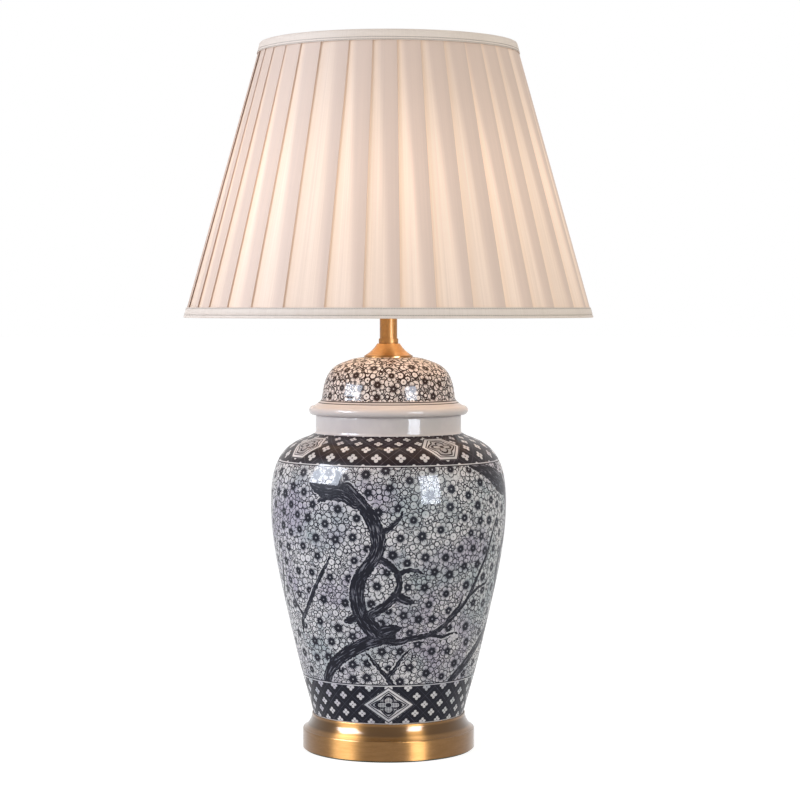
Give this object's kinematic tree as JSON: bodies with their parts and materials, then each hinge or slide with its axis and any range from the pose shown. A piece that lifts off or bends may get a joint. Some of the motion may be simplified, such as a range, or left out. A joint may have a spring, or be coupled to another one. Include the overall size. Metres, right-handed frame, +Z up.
{
  "type": "ginger jar table lamp",
  "caption": "Table lamp: lidded porcelain ginger jar with blue-black blossom pattern on a brass base, switched lampholder, screw bulb and tapered knife-pleated fabric shade.",
  "frame": {"origin": "on the table top, at the middle of the base's felt", "axes": "+Z up along the lamp's axis, the front that faces the room towards -Y, the cord inlet at the back towards +Y"},
  "size_m": [0.4089, 0.409, 0.7035],
  "materials": {
    "felt": "pressed felt",
    "base_brass": "spun and circumferentially brushed, lacquered",
    "cast_iron": "as cast",
    "zinc_steel": "zinc plated",
    "gasket_foam": "pale foam rubber",
    "bush_rubber": "black rubber",
    "jar_porcelain": "white porcelain, underglaze blue-black prunus pattern, clear gloss glaze",
    "lid_porcelain": "white porcelain, underglaze blossom pattern, clear gloss glaze",
    "fitting_brass": "satin lacquered",
    "holder_brass": "satin lacquered",
    "steatite": "unglazed steatite",
    "phenolic": "moulded phenolic",
    "contact_brass": "bright drawn",
    "switch_black": "moulded",
    "lamp_cap_metal": "nickel plated",
    "lamp_glass": "frosted inside",
    "lamp_insulator": "black vitrite",
    "lamp_stem": "clear",
    "lamp_filament": "phosphor coated, lit",
    "frame_wire": "cream powder coat",
    "cover_fabric": "fine woven faux silk, knife pleated",
    "lining_fabric": "smooth woven lining",
    "trim_fabric": "bias binding tape, top stitched"
  },
  "bodies": {
    "lamp": {"base_felt": "felt", "base_shell": "base_brass", "cord_grommet": "bush_rubber", "base_weight": "cast_iron", "base_washer": "zinc_steel", "base_nut": "zinc_steel", "threaded_tube": "zinc_steel", "jar_gasket": "gasket_foam", "jar_body": "jar_porcelain", "jar_lid": "lid_porcelain", "vase_cap": "fitting_brass", "neck_collar": "fitting_brass", "neck_tube": "fitting_brass", "holder_cap": "holder_brass", "holder_insert": "steatite", "terminal_screws": "contact_brass", "holder_sleeve": "holder_brass", "holder_screw_shell": "contact_brass", "holder_liner": "phenolic", "holder_contact": "contact_brass"},
    "shade": {"shade_bottom_ring": "frame_wire", "shade_top_ring": "frame_wire", "shade_struts": "frame_wire", "shade_fitter_ring": "frame_wire", "shade_arms": "frame_wire", "shade_cover": "cover_fabric", "shade_lining": "lining_fabric", "shade_bottom_trim": "trim_fabric", "shade_top_trim": "trim_fabric"},
    "clamp_ring": {"shade_clamp_ring": "holder_brass"},
    "bulb_lift": {"bulb_contact": "lamp_cap_metal"},
    "bulb": {"bulb_insulator": "lamp_insulator", "bulb_cap": "lamp_cap_metal", "bulb_globe": "lamp_glass", "bulb_stem": "lamp_stem", "bulb_filaments": "lamp_filament"},
    "switch_bar": {"switch_push_bar": "contact_brass", "switch_buttons": "switch_black"}
  },
  "joints": [
    {"name": "shade_turn", "type": "hinge", "parent": "lamp", "child": "shade", "pos_m": [0, 0, 0.4656], "axis": [0, 0, 1], "continuous": true},
    {"name": "clamp_ring_turn", "type": "hinge", "parent": "lamp", "child": "clamp_ring", "pos_m": [0, 0, 0.4712], "axis": [0, 0, 1], "range_deg": [0, 1080]},
    {"name": "bulb_rise", "type": "slide", "parent": "lamp", "child": "bulb_lift", "axis": [0, 0, 1], "range_m": [0, 0.0164]},
    {"name": "bulb_turn", "type": "hinge", "parent": "bulb_lift", "child": "bulb", "pos_m": [0, 0, 0.4783], "axis": [0, 0, 1], "range_deg": [0, 1620]},
    {"name": "switch_push", "type": "slide", "parent": "lamp", "child": "switch_bar", "axis": [-1, 0, 0], "range_m": [0, 0.006]}
  ],
  "couplings": [
    {"joint": "bulb_rise", "follows": "bulb_turn", "m_per_rad": 0.00057757}
  ]
}
